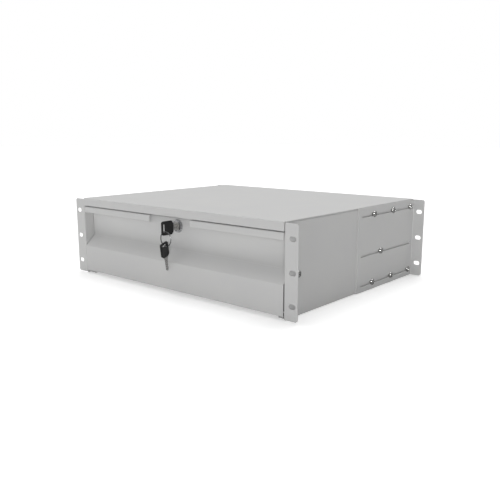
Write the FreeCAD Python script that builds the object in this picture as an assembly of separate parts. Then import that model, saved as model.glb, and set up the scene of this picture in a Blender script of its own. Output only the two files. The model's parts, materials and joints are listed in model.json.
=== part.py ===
import FreeCAD, Part
import math
import os

Vector = FreeCAD.Vector
Placement = FreeCAD.Placement
Rotation = FreeCAD.Rotation

# Lengths are millimetres and angles are degrees.
# X runs to the viewer's right, Y runs to the back and Z runs up.
# The origin is the centre of the front rack slots, on the front face of the ears.
# A name that ends in _height is measured up from the underside of the case, or is a piece's own height.
# A name that ends in _drop is measured down from the top or the middle of the case, as its note says.

# Rack standard
rack_unit = 44.45
rack_panel_width = 482.6
rack_hole_inset = 8.75
rack_slot_length = 11.0
rack_slot_width = 7.0

# Case
ear_reach = 21.3
case_height = 132.0
case_depth = 361.0
sheet = 1.2
sheet_bend = 1.0
hidden_bend_sides = 3
ear_edge_gap = 1.5
ear_corner = 3.5
side_flange = 16.0
side_flange_setback = 7.5
lip_height = 13.0
lip_end_gap = 1.5
rear_flange = 8.0
rear_edge_gap = 3.0

# Rear brackets
bracket_sheet = 2.0
bracket_length = 182.5
bracket_top_gap = 1.0
bracket_slot_length = 164.0
bracket_slot_width = 5.5
bracket_slot_end = 10.0
slot_end_sides = 8
bracket_low_slot_height = 11.6
bracket_high_slot_drop = 12.4
bracket_screw_rear = 14.0
bracket_screw_pitch = 61.0

# Pan head screws and nuts of the case
screw_shank_radius = 2.45
screw_hole_gap = 0.15
screw_head_radius = 5.0
screw_head_height = 3.5
thread_gap = 0.05
nut_across_flats = 8.0
nut_height = 3.2
thin_nut_height = 2.0
screw_tip = 0.6
thin_nut_tip = 0.2
screw_rim_share = 0.35
screw_dome_angle = 40.0
screw_sides = 8

# Telescopic slides
slide_middle_drop = 7.6
slide_thickness = 12.7
rail_setback = 22.0
rail_rear_space = 39.0
rail_sheet = 1.5
rail_bend = 0.5
rail_bend_sides = 2
rail_race_sides = 16
rail_height = 45.4
outer_flange_reach = 10.8
middle_web_offset = 4.2
middle_flange_reach = 10.8
inner_flange_tip = 6.8
outer_ball_radius = 1.75
inner_ball_radius = 1.5
outer_ball_offset = 7.8
inner_ball_offset = 9.4
groove_depth = 0.5
ball_gap = 0.03
cage_length = 130.0
cage_thickness = 0.8
cage_width = 5.0
cage_ball_gap = 0.08
balls_per_row = 4
ball_sides = 6
slide_screw_front = 8.0
slide_screw_spacing = 219.0
bumper_length = 6.0
bumper_gap = 0.3

# Drawer front
front_end_gap = 1.0
front_bottom_height = 4.4
knee_height = 49.0
sill_rise = 16.4
pocket_depth = 18.3
slit = 1.2
grip_drop = 10.3
front_return = 15.0
centre_notch_width = 90.0
centre_notch_depth = 6.3

# Drawer tray
tray_top_drop = 27.4
tray_rear_space = 21.0
tray_top_fold = 7.0
tray_front_flange = 12.0
tray_weld_gap = 0.3
back_flange = 10.0
tray_screw_radius = 1.95
tray_screw_head_radius = 3.9
tray_screw_head_height = 2.4
tray_nut_across_flats = 7.0
tray_screw_inset = 20.0

# Cam lock
lock_top_drop = 29.3
lock_flange_radius = 10.5
lock_face_radius = 8.7
lock_head_depth = 3.4
lock_flange_edge = 1.0
lock_sides = 24
lock_barrel_radius = 9.5
lock_barrel_flat = 8.0
lock_barrel_length = 16.0
lock_hole_gap = 0.1
lock_nut_across_flats = 24.0
lock_nut_height = 3.0
plug_radius = 6.0
plug_rim_radius = 6.8
plug_rim_depth = 1.0
plug_gap = 0.05
plug_recess = 0.4
plug_tail_side = 7.0
plug_sides = 18
cam_thickness = 2.0
cam_gap = 0.1
cam_hub_radius = 8.0
cam_length = 25.0
cam_width = 13.0
cam_screw_radius = 1.95
cam_screw_length = 4.4
cam_screw_head_radius = 4.6
cam_screw_head_height = 2.3
wafer_count = 5
wafer_thickness = 0.8
wafer_pitch = 2.4
wafer_width = 6.4
wafer_first = 2.2
keyway_end_gap = 0.5
strike_width = 40.0
strike_flange = 14.0
strike_play = 0.8

# Keys and split ring
bow_length = 23.0
bow_height = 21.4
bow_drop = 0.7
bow_thickness = 3.0
bow_corner = 3.0
bow_shoulder_length = 3.4
bow_shoulder_height = 12.0
bow_slot_length = 13.5
bow_slot_width = 4.0
bow_slot_setback = 4.5
bow_rear = 8.0
blade_length = 22.0
blade_height = 5.6
blade_thickness = 2.0
blade_root = 8.0
blade_shoulder_height = 7.8
blade_shoulder_length = 3.4
blade_groove = 0.5
blade_groove_start = 0.6
blade_groove_low = 0.45
blade_groove_high = 0.05
blade_tip_length = 3.0
blade_gap = 0.1
bitting_play = 0.15
bitting_rise = 1.0
bitting_depths = (1.2, 0.5, 1.6, 0.8, 1.3)
ring_radius = 11.2
ring_wire_height = 1.0
ring_wire_width = 1.8
ring_seat_gap = 1.2
ring_sides = 36
ring_tilt = 19.0
spare_place = 24.0
spare_lean = 8.0
spare_turn = 20.0
spare_roll = 2.5

origin = Vector(0, 0, 0)
x_axis = Vector(1, 0, 0)
y_axis = Vector(0, 1, 0)
z_axis = Vector(0, 0, 1)

# Levels and faces that several pieces share
case_bottom = -case_height / 2
case_top = case_height / 2
rack_hole_span = rack_panel_width - 2 * rack_hole_inset
ear_end = rack_panel_width / 2
ear_height = case_height - 2 * ear_edge_gap
bracket_height = case_height - bracket_top_gap
case_half = ear_end - ear_reach
side_inner = case_half - sheet
cover_underside = case_top - sheet
web_top = case_top - lip_height - slit
slide_level = -slide_middle_drop
lock_level = case_top - lock_top_drop
floor_underside = case_bottom + front_bottom_height + sheet
tray_outer = side_inner - slide_thickness
tray_inner = tray_outer - sheet
tray_top = case_top - tray_top_drop
front_half = side_inner - front_end_gap
wall_rear = pocket_depth + sheet
rail_end = case_depth - rail_rear_space
rail_length = rail_end - rail_setback
rail_middle = rail_setback + rail_length / 2
tray_screw_columns = (rail_setback + tray_screw_inset, rail_middle, rail_end - tray_screw_inset)
tray_rear = case_depth - tray_rear_space
bracket_front = case_depth - bracket_length
bracket_outer = case_half + bracket_sheet
bow_level = lock_level - bow_drop
lock_face = pocket_depth - lock_head_depth
barrel_end = pocket_depth + lock_barrel_length
cam_front = barrel_end + cam_gap
cam_rear = cam_front + cam_thickness


def box(low, high):
    """Solid box between two corners given in any order."""
    lower = Vector(*[min(pair) for pair in zip(low, high)])
    upper = Vector(*[max(pair) for pair in zip(low, high)])
    size = upper - lower
    return Part.makeBox(size.x, size.y, size.z, lower)


def fuse(shapes):
    return shapes[0].multiFuse(shapes[1:]).removeSplitter()


def cut(shape, tools):
    return shape.cut(Part.makeCompound(tools))


def prism(points, place, run):
    """Straight prism over a closed outline of 2D points."""
    corners = [place(*point) for point in points]
    wire = Part.makePolygon(corners + corners[:1])
    return Part.Face(wire).extrude(run)


def in_yz(x):
    return lambda a, b: Vector(x, a, b)


def in_xz(y):
    return lambda a, b: Vector(a, y, b)


def in_xy(z):
    return lambda a, b: Vector(a, b, z)


def offset_points(points, distance):
    """Mitred copy of an open 2D line, moved to its left by distance."""
    line = [Vector(a, b, 0) for a, b in points]
    moved = []
    for index, point in enumerate(line):
        ahead = line[min(index + 1, len(line) - 1)] - line[min(index, len(line) - 2)]
        behind = line[max(index, 1)] - line[max(index - 1, 0)]
        normals = [Vector(-d.y, d.x, 0).normalize() for d in (behind, ahead)]
        mitre = (normals[0] + normals[1]).normalize()
        shifted = point + mitre * (distance / mitre.dot(normals[0]))
        moved.append((shifted.x, shifted.y))
    return moved


def arc_stops(centre, start, end, sides):
    """Points along an arc from start to end, one more than its flat steps."""
    turn = math.degrees((start - centre).getAngle(end - centre))
    way = 1 if (start - centre).cross(end - centre).z > 0 else -1
    stops = []
    for step in range(sides + 1):
        part = Rotation(z_axis, way * turn * step / sides)
        stops.append(centre + part.multVec(start - centre))
    return stops


def folded_strip(points, thickness, bend, place, run, sides=0):
    """Sheet bent along a 2D centre line, with an inside radius or a few flat steps at each fold."""
    line = [Vector(a, b, 0) for a, b in points]
    radius = bend + thickness / 2

    def side_edges(side):
        edges = []
        start_normal = normal(line[1] - line[0]) * (side * thickness / 2)
        last = line[0] + start_normal
        for index in range(1, len(line) - 1):
            before = (line[index] - line[index - 1]).normalize()
            after = (line[index + 1] - line[index]).normalize()
            turn = before.getAngle(after)
            left = 1 if before.cross(after).z > 0 else -1
            reach = radius * math.tan(turn / 2)
            centre = line[index] - before * reach + normal(before) * (left * radius)
            arc_radius = radius - side * left * thickness / 2
            arc_start = centre - normal(before) * (left * arc_radius)
            arc_end = centre - normal(after) * (left * arc_radius)
            arc_middle = centre + (line[index] - centre).normalize() * arc_radius
            edges.append((last, arc_start))
            if sides:
                stops = arc_stops(centre, arc_start, arc_end, sides)
                edges += list(zip(stops, stops[1:]))
            else:
                edges.append((arc_start, arc_middle, arc_end))
            last = arc_end
        end_normal = normal(line[-1] - line[-2]) * (side * thickness / 2)
        edges.append((last, line[-1] + end_normal))
        return edges

    left_side = side_edges(1)
    right_side = [tuple(reversed(edge)) for edge in reversed(side_edges(-1))]
    end_cap = (left_side[-1][-1], right_side[0][0])
    start_cap = (right_side[-1][-1], left_side[0][0])
    outline = []
    for edge in left_side + [end_cap] + right_side + [start_cap]:
        corners = [place(point.x, point.y) for point in edge]
        if len(corners) == 2:
            outline.append(Part.LineSegment(*corners).toShape())
        else:
            outline.append(Part.Arc(*corners).toShape())
    return Part.Face(Part.Wire(outline)).extrude(run)


def normal(direction):
    return Vector(-direction.y, direction.x, 0).normalize()


def slot_cutter(centre, along, through, length, width, depth, sides=0):
    """Slot that runs along one axis and cuts through another, ends round or in flat steps."""
    across = through.cross(along)
    half = along * ((length - width) / 2)
    edge = across * (width / 2)
    tip = along * (width / 2)
    base = centre - through * (depth / 2)
    if sides:
        stops = []
        for way in (1, -1):
            for step in range(sides + 1):
                swing = math.pi * (step / sides - 0.5)
                stops.append(base + (half + tip * math.cos(swing) + edge * math.sin(swing)) * way)
        return Part.Face(Part.makePolygon(stops + stops[:1])).extrude(through * depth)
    outline = [
        Part.LineSegment(base - half - edge, base + half - edge).toShape(),
        Part.Arc(base + half - edge, base + half + tip, base + half + edge).toShape(),
        Part.LineSegment(base + half + edge, base - half + edge).toShape(),
        Part.Arc(base - half + edge, base - half - tip, base - half - edge).toShape(),
    ]
    return Part.Face(Part.Wire(outline)).extrude(through * depth)


def ring_points(radius, height, sides):
    angles = [2 * math.pi * step / sides for step in range(sides)]
    return [Vector(radius * math.cos(a), radius * math.sin(a), height) for a in angles]


def faceted(points, sides, place_at, direction):
    """Small round piece with flat facets, from (radius, height) points that start and end on its axis."""
    faces = []
    for (low_radius, low), (high_radius, high) in zip(points, points[1:]):
        below = ring_points(low_radius, low, sides)
        above = ring_points(high_radius, high, sides)
        for step in range(sides):
            ahead = (step + 1) % sides
            corners = [below[step], below[ahead], above[ahead], above[step]]
            if low_radius == 0:
                corners = [below[0], above[ahead], above[step]]
            if high_radius == 0:
                corners = [below[step], below[ahead], above[0]]
            faces.append(Part.Face(Part.makePolygon(corners + corners[:1])))
    solid = Part.Solid(Part.Shell(faces))
    if solid.Volume < 0:
        solid.reverse()
    return aimed(solid.removeSplitter(), place_at, direction)


def faceted_rod(radius, length, place_at, direction, sides):
    return faceted([(0, 0), (radius, 0), (radius, length), (0, length)], sides, place_at, direction)


def aimed(solid, place_at, direction):
    solid = solid.copy()
    solid.Placement = Placement(place_at, Rotation(z_axis, direction))
    return solid


def pan_screw(seat, direction, head_radius, head_height, shank_radius, shank_length):
    """Domed screw; seat is the centre of the head's underside."""
    rim = head_height * screw_rim_share
    points = [
        (0, -shank_length),
        (shank_radius, -shank_length),
        (shank_radius, 0),
        (head_radius, 0),
        (head_radius, rim),
    ]
    angle = math.radians(screw_dome_angle)
    points.append((head_radius * math.cos(angle), rim + (head_height - rim) * math.sin(angle)))
    points.append((0, head_height))
    return faceted(points, screw_sides, seat, direction)


def hex_block(across_flats, height):
    corner = across_flats / 2 / math.cos(math.radians(30))
    return faceted_rod(corner, height, origin, z_axis, 6)


def hex_nut(seat, direction, across_flats, height, bore_radius):
    """Hexagon nut that grows from its seat along a direction."""
    bore = faceted_rod(bore_radius, height, origin, z_axis, screw_sides)
    return aimed(hex_block(across_flats, height).cut(bore), seat, direction)


def save(name, shape):
    shape.exportStep("parts/" + name + ".step")


def save_pair(name, shape):
    """The shape is the right-hand one; the left-hand one is its mirror image."""
    save("right_" + name, shape)
    save("left_" + name, shape.mirror(origin, x_axis))


def rack_slots(y, depth):
    """The three slots of one ear, one for each rack unit."""
    levels = (-rack_unit, 0, rack_unit)
    length = rack_slot_length
    width = rack_slot_width
    places = [Vector(rack_hole_span / 2, y, level) for level in levels]
    return [slot_cutter(place, x_axis, y_axis, length, width, depth) for place in places]


def rounded_ear(ear, radius):
    """Rounds the two outer corners of an ear."""
    corners = []
    for edge in ear.Edges:
        middle = edge.CenterOfMass
        along = edge.BoundBox
        if abs(middle.x - ear_end) < 0.01 and along.ZLength < 0.01 and along.YLength > 0.5:
            corners.append(edge)
    return ear.makeFillet(radius, corners)


def bracket_levels():
    low = case_bottom + bracket_low_slot_height
    high = case_top - bracket_high_slot_drop
    return low, slide_level, high


def bracket_screw_places():
    low, _, high = bracket_levels()
    last = case_depth - bracket_screw_rear
    steps = [last - bracket_screw_pitch * step for step in range(3)]
    return [(y, level) for level in (low, high) for y in steps]


def slide_screw_places():
    front = rail_setback + slide_screw_front
    return front, front + slide_screw_spacing


def side_holes(x_from, x_to, places, radius):
    """Screw holes through the side, for places given as (y, z)."""
    length = abs(x_to - x_from)
    start = min(x_from, x_to)
    seats = [Vector(start, y, z) for y, z in places]
    return [faceted_rod(radius, length, seat, x_axis, screw_sides) for seat in seats]


def make_cover():
    line = [
        (sheet / 2, case_top - lip_height),
        (sheet / 2, case_top - sheet / 2),
        (case_depth, case_top - sheet / 2),
    ]
    half = case_half - lip_end_gap
    place = in_yz(-half)
    cover = folded_strip(line, sheet, sheet_bend, place, x_axis * (2 * half))
    start = sheet + sheet_bend
    edges = []
    for side in (-1, 1):
        low = (side * half, start, cover_underside)
        edges.append(box(low, (side * case_half, case_depth, case_top)))
    return fuse([cover] + edges)


def make_side_panel():
    """Side sheet with its front ear and its top and bottom flanges."""
    web = case_half - sheet / 2
    ear_line = [
        (ear_end, sheet / 2),
        (web, sheet / 2),
        (web, side_flange_setback),
    ]
    ear = folded_strip(ear_line, sheet, sheet_bend, in_xy(-ear_height / 2), z_axis * ear_height)
    ear = rounded_ear(ear, ear_corner)
    front = sheet + sheet_bend
    strip = box((side_inner, front, case_bottom), (case_half, side_flange_setback, cover_underside))
    flange_line = [
        (case_half - side_flange, case_bottom + sheet / 2),
        (web, case_bottom + sheet / 2),
        (web, cover_underside - sheet / 2),
        (case_half - side_flange, cover_underside - sheet / 2),
    ]
    run = y_axis * (case_depth - side_flange_setback)
    place = in_xz(side_flange_setback)
    channel = folded_strip(flange_line, sheet, sheet_bend, place, run, hidden_bend_sides)
    panel = fuse([ear, strip, channel])
    radius = screw_shank_radius + screw_hole_gap
    places = bracket_screw_places() + [(y, slide_level) for y in slide_screw_places()]
    holes = side_holes(side_inner - 1, case_half + 1, places, radius)
    return cut(panel, rack_slots(sheet / 2, sheet * 4) + holes)


def make_rear_panel():
    """Rear wall with a narrow weld flange up each side."""
    web = side_inner - sheet / 2
    rear = case_depth - sheet / 2
    front = case_depth - rear_flange
    line = [(web, front), (web, rear), (-web, rear), (-web, front)]
    low = case_bottom + sheet + rear_edge_gap
    high = cover_underside - sheet - rear_edge_gap
    run = z_axis * (high - low)
    wall = folded_strip(line, sheet, sheet_bend, in_xy(low), run, hidden_bend_sides)
    half = side_inner - rear_edge_gap
    filler_low = (-half, case_depth - sheet, case_bottom + sheet)
    filler_high = (half, case_depth, cover_underside - sheet)
    return fuse([wall, box(filler_low, filler_high)])


def make_strike():
    """Angle under the cover that the raised cam stands behind."""
    centre = cam_front - strike_play - sheet / 2
    line = [
        (centre, case_top - lip_height),
        (centre, cover_underside - sheet / 2),
        (centre - strike_flange, cover_underside - sheet / 2),
    ]
    place = in_yz(-strike_width / 2)
    return folded_strip(line, sheet, sheet_bend, place, x_axis * strike_width, hidden_bend_sides)


def make_bracket():
    """Angle that slides on the side of the case and carries the rear ear."""
    plate = case_half + bracket_sheet / 2
    ear = case_depth - bracket_sheet / 2
    line = [(plate, bracket_front), (plate, ear), (ear_end, ear)]
    run = z_axis * bracket_height
    bracket = folded_strip(line, bracket_sheet, sheet_bend, in_xy(case_bottom), run)
    bracket = rounded_ear(bracket, ear_corner)
    centre = case_depth - bracket_slot_end - bracket_slot_length / 2
    slots = []
    for level in bracket_levels():
        place = Vector(plate, centre, level)
        length = bracket_slot_length
        depth = bracket_sheet * 2
        width = bracket_slot_width
        slots.append(slot_cutter(place, y_axis, x_axis, length, width, depth, slot_end_sides))
    return cut(bracket, slots + rack_slots(ear, bracket_sheet * 2))


def make_bracket_screws():
    reach = bracket_outer - side_inner + nut_height + screw_tip
    shank = screw_shank_radius
    screws = []
    for y, level in bracket_screw_places():
        seat = Vector(bracket_outer, y, level)
        screws.append(pan_screw(seat, x_axis, screw_head_radius, screw_head_height, shank, reach))
    return Part.makeCompound(screws)


def make_bracket_nuts():
    bore = screw_shank_radius + thread_gap
    nuts = []
    for y, level in bracket_screw_places():
        seat = Vector(side_inner, y, level)
        nuts.append(hex_nut(seat, -x_axis, nut_across_flats, nut_height, bore))
    return Part.makeCompound(nuts)


def make_slide_screws():
    """Front screw on the case side, rear screw on the bracket through its middle slot."""
    front, rear = slide_screw_places()
    inner_end = side_inner - rail_sheet - thin_nut_height - thin_nut_tip
    screws = []
    for y, face in ((front, case_half), (rear, bracket_outer)):
        seat = Vector(face, y, slide_level)
        reach = face - inner_end
        head = (screw_head_radius, screw_head_height)
        screws.append(pan_screw(seat, x_axis, head[0], head[1], screw_shank_radius, reach))
    return Part.makeCompound(screws)


def make_slide_nuts():
    bore = screw_shank_radius + thread_gap
    nuts = []
    for y in slide_screw_places():
        seat = Vector(side_inner - rail_sheet, y, slide_level)
        nuts.append(hex_nut(seat, -x_axis, nut_across_flats, thin_nut_height, bore))
    return Part.makeCompound(nuts)


def slide_place(y):
    """Rail sections are drawn as (distance in from the case side, height from the slide's middle)."""
    return lambda a, b: Vector(side_inner - a, y, slide_level + b)


def channel_rail(web, tip, half_height):
    """Channel section with its web on one side and its flanges reaching to the other."""
    toward = 1 if tip > web else -1
    centre = web + toward * rail_sheet / 2
    level = half_height - rail_sheet / 2
    line = [(tip, -level), (centre, -level), (centre, level), (tip, level)]
    run = y_axis * rail_length
    return folded_strip(line, rail_sheet, rail_bend, slide_place(rail_setback), run, rail_bend_sides)


outer_half = rail_height / 2
outer_ball_level = outer_half - rail_sheet + groove_depth - ball_gap - outer_ball_radius
middle_half = outer_ball_level - outer_ball_radius - ball_gap + groove_depth
inner_ball_level = middle_half - rail_sheet + groove_depth - ball_gap - inner_ball_radius
inner_half = inner_ball_level - inner_ball_radius - ball_gap + groove_depth


def grooves(offset, level, ball_radius):
    """Ball races rolled into the upper and lower flanges."""
    radius = (ball_radius + ball_gap) / math.cos(math.pi / rail_race_sides)
    start = slide_place(rail_setback)
    places = [start(offset, side * level) for side in (-1, 1)]
    return [faceted_rod(radius, rail_length, place, y_axis, rail_race_sides) for place in places]


def make_outer_rail():
    rail = channel_rail(0, outer_flange_reach, outer_half)
    places = [(y, slide_level) for y in slide_screw_places()]
    radius = screw_shank_radius + screw_hole_gap
    holes = side_holes(side_inner - rail_sheet, side_inner, places, radius)
    return cut(rail, grooves(outer_ball_offset, outer_ball_level, outer_ball_radius) + holes)


def make_middle_rail():
    rail = channel_rail(middle_web_offset, middle_flange_reach, middle_half)
    outside = grooves(outer_ball_offset, outer_ball_level, outer_ball_radius)
    inside = grooves(inner_ball_offset, inner_ball_level, inner_ball_radius)
    return cut(rail, outside + inside)


def make_inner_rail():
    rail = channel_rail(slide_thickness, inner_flange_tip, inner_half)
    places = [(y, slide_level) for y in tray_screw_columns]
    radius = tray_screw_radius + screw_hole_gap
    holes = side_holes(tray_outer, tray_outer + rail_sheet, places, radius)
    return cut(rail, grooves(inner_ball_offset, inner_ball_level, inner_ball_radius) + holes)


def ball_centres(offset, level):
    pitch = cage_length / balls_per_row
    first = rail_middle - cage_length / 2 + pitch / 2
    centres = []
    for side in (-1, 1):
        for step in range(balls_per_row):
            centres.append(slide_place(first + pitch * step)(offset, side * level))
    return centres


def make_balls(offset, level, radius):
    """Balls with a few flat facets each, as their rows lie closed in between the rails."""
    angles = [math.radians(-90 + 45 * step) for step in range(5)]
    points = [(radius * math.cos(angle), radius * math.sin(angle)) for angle in angles[1:-1]]
    points = [(0, -radius)] + points + [(0, radius)]
    balls = [faceted(points, ball_sides, centre, y_axis) for centre in ball_centres(offset, level)]
    return Part.makeCompound(balls)


def make_cage(offset, level, radius):
    """Two flat strips that keep one rail's balls apart."""
    start = slide_place(rail_middle - cage_length / 2)
    strips = []
    for side in (-1, 1):
        low = start(offset - cage_width / 2, side * level - cage_thickness / 2)
        high = start(offset + cage_width / 2, side * level + cage_thickness / 2)
        strips.append(box(low, high + y_axis * cage_length))
    half = radius + cage_ball_gap
    reach = Vector(half, half, cage_thickness)
    pockets = [box(centre - reach, centre + reach) for centre in ball_centres(offset, level)]
    return cut(Part.makeCompound(strips), pockets)


def make_bumper():
    """Block at the rear of the outer rail that the moving rails stop against."""
    half = outer_half - rail_sheet
    start = slide_place(rail_end)
    low = start(0, -half)
    high = start(outer_flange_reach, half)
    return box(low + y_axis * bumper_gap, high + y_axis * (bumper_gap + bumper_length))


def front_face_line():
    """Visible face of the drawer front from its bottom edge up to the pocket's top."""
    knee = case_bottom + knee_height
    return [
        (0, case_bottom + front_bottom_height + sheet / 2),
        (0, knee),
        (pocket_depth, knee + sill_rise),
        (pocket_depth, web_top - sheet / 2),
    ]


def make_drawer_front():
    """One folded sheet: lower face, sloping sill, pocket wall, top web and grip strip."""
    body = offset_points(front_face_line(), -sheet / 2)
    low = body[0][1]
    web = web_top - sheet / 2
    lip = [(sheet / 2, web), (sheet / 2, web_top - grip_drop)]
    line = [(front_return, low)] + body + lip
    front = folded_strip(line, sheet, sheet_bend, in_yz(-front_half), x_axis * (2 * front_half))
    half = centre_notch_width / 2
    notch_low = (-half, -1, web_top - grip_drop - 1)
    notch = box(notch_low, (half, centre_notch_depth, web_top + 1))
    radius = lock_barrel_radius + lock_hole_gap
    flat = lock_barrel_flat + lock_hole_gap
    return cut(front, [notch, lock_shape(radius, flat, pocket_depth - 1, wall_rear + 1)])


def lock_rod(radius, y_from, y_to):
    return faceted_rod(radius, y_to - y_from, Vector(0, y_from, lock_level), y_axis, lock_sides)


def lock_shape(radius, flat, y_from, y_to):
    """Round bar along Y at the lock, with a flat on each side."""
    bar = lock_rod(radius, y_from, y_to)
    return bar.common(box((-flat, y_from, lock_level - radius), (flat, y_to, lock_level + radius)))


def make_tray():
    """Floor and two sides in one folded sheet, cut to follow the back of the drawer front."""
    side = tray_outer - sheet / 2
    fold = tray_outer - tray_top_fold
    low = floor_underside + sheet / 2
    top = tray_top - sheet / 2
    line = [(fold, top), (side, top), (side, low), (-side, low), (-side, top), (-fold, top)]
    run = y_axis * tray_rear
    tray = folded_strip(line, sheet, sheet_bend, in_xz(0), run, hidden_bend_sides)
    back_line = offset_points(front_face_line(), -sheet - tray_weld_gap)
    below = case_bottom - 1
    above = case_top
    outline = [(-1, below), (back_line[0][0], below)] + back_line[1:3]
    outline += [(back_line[3][0], above), (-1, above)]
    ahead = prism(outline, in_yz(-case_half), x_axis * (2 * case_half))
    fold_end = sheet + sheet_bend + tray_weld_gap
    fold_top = floor_underside + sheet + sheet_bend
    fold = box((-case_half, -1, below), (case_half, fold_end, fold_top))
    tray = cut(tray, [ahead, fold])
    flange_low = case_bottom + knee_height + sill_rise + sheet
    flanges = []
    for hand in (-1, 1):
        start = (hand * (tray_outer - tray_front_flange), wall_rear, flange_low)
        end = (hand * tray_outer, wall_rear + sheet, tray_top - sheet - sheet_bend)
        flanges.append(box(start, end))
    places = [(y, slide_level) for y in tray_screw_columns]
    radius = tray_screw_radius + screw_hole_gap
    holes = side_holes(tray_inner - 1, tray_outer + 1, places, radius)
    holes += side_holes(-tray_outer - 1, -tray_inner + 1, places, radius)
    return cut(fuse([tray] + flanges), holes)


def make_tray_back():
    """Back wall of the tray, with weld flanges on the sides and a folded top."""
    web = tray_inner - sheet / 2
    rear = tray_rear - sheet / 2
    line = [(web, rear - back_flange), (web, rear), (-web, rear), (-web, rear - back_flange)]
    low = floor_underside + sheet + sheet_bend
    high = tray_top - sheet - sheet_bend
    run = z_axis * (high - low)
    wall = folded_strip(line, sheet, sheet_bend, in_xy(low), run, hidden_bend_sides)
    half = tray_outer - tray_top_fold - tray_weld_gap
    tongue = box((-half, tray_rear - sheet, floor_underside + sheet), (half, tray_rear, tray_top))
    return fuse([wall, tongue])


def tray_screw_seats(x):
    return [Vector(x, y, slide_level) for y in tray_screw_columns]


def make_tray_screws():
    reach = sheet + rail_sheet + thin_nut_height + thin_nut_tip
    head = (tray_screw_head_radius, tray_screw_head_height)
    shank = tray_screw_radius
    seats = tray_screw_seats(tray_inner)
    screws = [pan_screw(seat, -x_axis, head[0], head[1], shank, reach) for seat in seats]
    return Part.makeCompound(screws)


def make_tray_nuts():
    bore = tray_screw_radius + thread_gap
    seats = tray_screw_seats(tray_outer + rail_sheet)
    size = tray_nut_across_flats
    nuts = [hex_nut(seat, x_axis, size, thin_nut_height, bore) for seat in seats]
    return Part.makeCompound(nuts)


def make_lock_housing():
    """Bevelled bezel in the pocket and a barrel with flats behind the wall."""
    profile = [
        (0, 0),
        (lock_flange_radius, 0),
        (lock_flange_radius, lock_flange_edge),
        (lock_face_radius, lock_head_depth),
        (0, lock_head_depth),
    ]
    head = faceted(profile, lock_sides, Vector(0, pocket_depth, lock_level), -y_axis)
    barrel = lock_shape(lock_barrel_radius, lock_barrel_flat, pocket_depth, barrel_end)
    depth = plug_rim_depth + plug_recess + plug_gap
    place = Vector(0, lock_face, lock_level)
    bore = Part.makeCylinder(plug_radius + plug_gap, barrel_end - lock_face, place, y_axis)
    counterbore = Part.makeCylinder(plug_rim_radius + plug_gap, depth, place, y_axis)
    return cut(fuse([head, barrel]), [bore, counterbore])


def make_lock_nut():
    seat = Vector(0, wall_rear, lock_level)
    bore = lock_rod(lock_barrel_radius + thread_gap, wall_rear, wall_rear + lock_nut_height)
    return aimed(hex_block(lock_nut_across_flats, lock_nut_height), seat, y_axis).cut(bore)


def wafer_starts():
    first = lock_face + wafer_first
    return [first + wafer_pitch * step for step in range(wafer_count)]


def make_plug():
    """Turning core: keyway, wafer slots and a square tail for the cam."""
    front = lock_face + plug_recess
    place = Vector(0, front, lock_level)
    core = faceted_rod(plug_radius, barrel_end - front, place, y_axis, plug_sides)
    rim = faceted_rod(plug_rim_radius, plug_rim_depth, place, y_axis, plug_sides)
    side = plug_tail_side / 2
    tail_end = cam_rear - cam_gap
    tail = box((-side, barrel_end, lock_level - side), (side, tail_end, lock_level + side))
    half = blade_thickness / 2 + blade_gap
    rise = blade_height / 2 + blade_gap
    key_end = bow_rear + blade_length + keyway_end_gap
    keyway = box((-half, front, lock_level - rise), (half, key_end, lock_level + rise))
    width = wafer_width / 2 + blade_gap
    slots = []
    for start in wafer_starts():
        low = (-width, start - blade_gap, lock_level - plug_radius - 1)
        high = (width, start + wafer_thickness + blade_gap, lock_level + plug_radius + 1)
        slots.append(box(low, high))
    bore_radius = cam_screw_radius + thread_gap
    bore_end = Vector(0, tail_end, lock_level)
    screw_bore = faceted_rod(bore_radius, cam_screw_length, bore_end, -y_axis, screw_sides)
    return cut(fuse([core, rim, tail]), slots + [keyway, screw_bore])


def make_wafers():
    """Spring wafers, drawn flush with the plug as the key holds them."""
    half = blade_thickness / 2 + blade_gap
    rise = blade_height / 2 + blade_gap
    reach = math.sqrt((plug_radius - blade_gap) ** 2 - (wafer_width / 2) ** 2)
    wafers = []
    for start in wafer_starts():
        end = start + wafer_thickness
        side = wafer_width / 2
        plate = box((-side, start, lock_level - reach), (side, end, lock_level + reach))
        window = box((-half, start, lock_level - rise), (half, end, lock_level + rise))
        wafers.append(plate.cut(window))
    return Part.makeCompound(wafers)


def make_cam():
    """Flat arm that lies to the left when open and stands up when locked."""
    hub = lock_rod(cam_hub_radius, cam_front, cam_rear)
    half = cam_width / 2
    tip_centre = cam_length - half
    arm = box((-tip_centre, cam_front, lock_level - half), (0, cam_rear, lock_level + half))
    tip = lock_rod(half, cam_front, cam_rear)
    tip.translate(-x_axis * tip_centre)
    side = plug_tail_side / 2 + thread_gap
    square = box((-side, cam_front, lock_level - side), (side, cam_rear, lock_level + side))
    return fuse([hub, arm, tip]).cut(square)


def make_cam_screw():
    seat = Vector(0, cam_rear, lock_level)
    head = (cam_screw_head_radius, cam_screw_head_height)
    return pan_screw(seat, y_axis, head[0], head[1], cam_screw_radius, cam_screw_length)


def key_outline():
    """Upper half of the bow's outline, from its outer end to the shoulder, as (y, height over its middle)."""
    outer = bow_rear - bow_length
    rear = bow_rear - bow_shoulder_length
    half = bow_height / 2
    shoulder = bow_shoulder_height / 2
    return [(outer, half), (rear, half), (bow_rear, shoulder)]


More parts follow.
